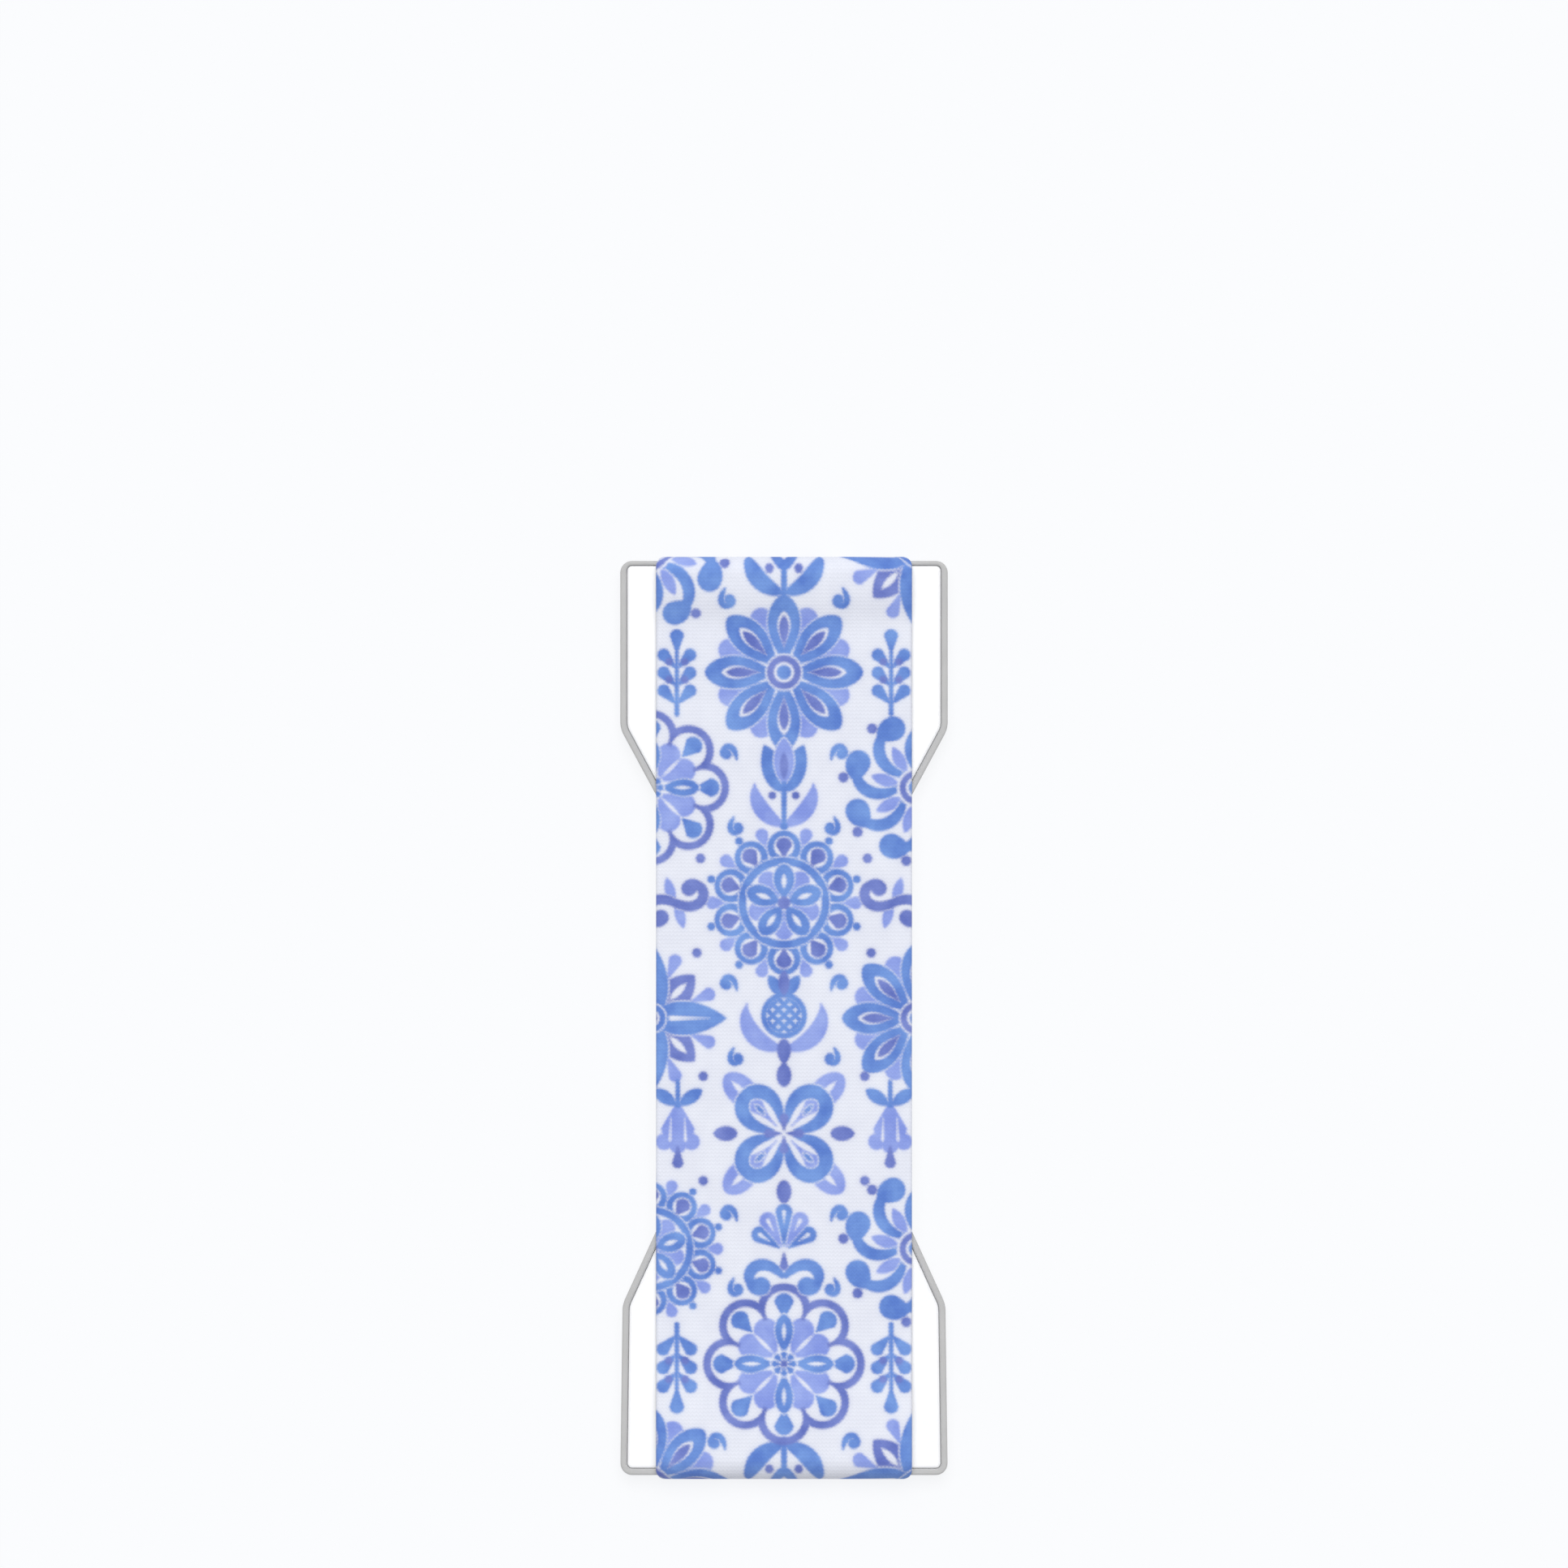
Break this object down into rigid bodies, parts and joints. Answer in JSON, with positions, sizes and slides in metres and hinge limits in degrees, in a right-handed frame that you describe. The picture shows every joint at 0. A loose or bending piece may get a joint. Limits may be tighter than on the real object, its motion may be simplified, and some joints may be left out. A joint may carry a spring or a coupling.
{
  "type": "phone strap",
  "caption": "Printed elastic finger band on snap clips, hooked over the end bars of an hourglass base plate that sticks to the back of a phone.",
  "frame": {"origin": "centre of the adhesive face, on the plane of the phone's back", "axes": "+X across the strap, +Y along it towards the end at the top of the picture, +Z away from the phone"},
  "size_m": [0.0362, 0.1018, 0.0049],
  "materials": {
    "foam": "closed-cell acrylic foam, matt",
    "plate": "white polycarbonate, fine spark texture",
    "bead": "light grey elastomer, satin",
    "clip": "natural nylon, satin",
    "band": "fine elastic knit, blue and white tile print"
  },
  "bodies": {
    "root": {"adhesive_pad": "foam", "base_plate": "plate", "edge_bead_left": "bead", "edge_bead_right": "bead", "upper_clip": "clip", "lower_clip": "clip", "elastic_band": "band"}
  },
  "joints": []
}
